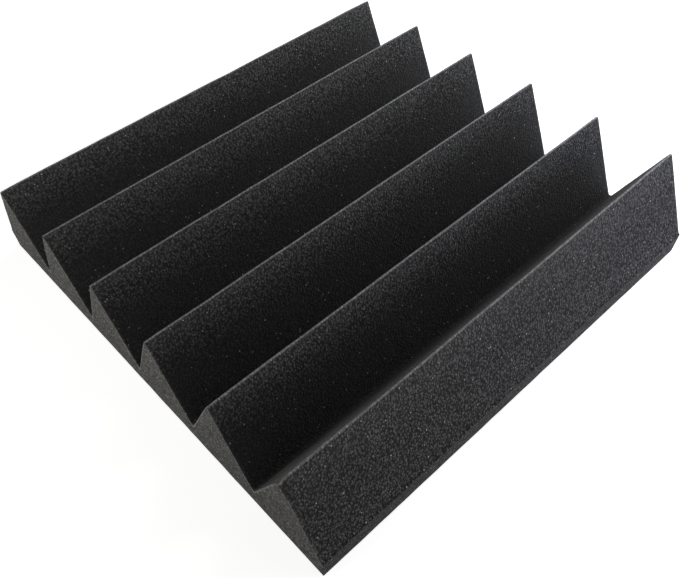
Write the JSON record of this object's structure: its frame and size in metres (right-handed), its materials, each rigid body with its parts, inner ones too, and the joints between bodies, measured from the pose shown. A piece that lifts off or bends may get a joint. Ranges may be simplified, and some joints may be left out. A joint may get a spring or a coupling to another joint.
{
  "type": "acoustic foam panel",
  "caption": "Square tile of charcoal open-cell foam with straight wedge-shaped ridges on a flat base, put on walls or ceilings to damp echo.",
  "frame": {"origin": "middle of the flat back face, which goes against the wall or ceiling", "axes": "+Z out of the back, towards the ridges; +X across the wedges; +Y along the ridges"},
  "size_m": [0.3048, 0.3048, 0.0635],
  "materials": {
    "foam": "matte"
  },
  "bodies": {
    "root": {"foam_panel": "foam"}
  },
  "joints": []
}
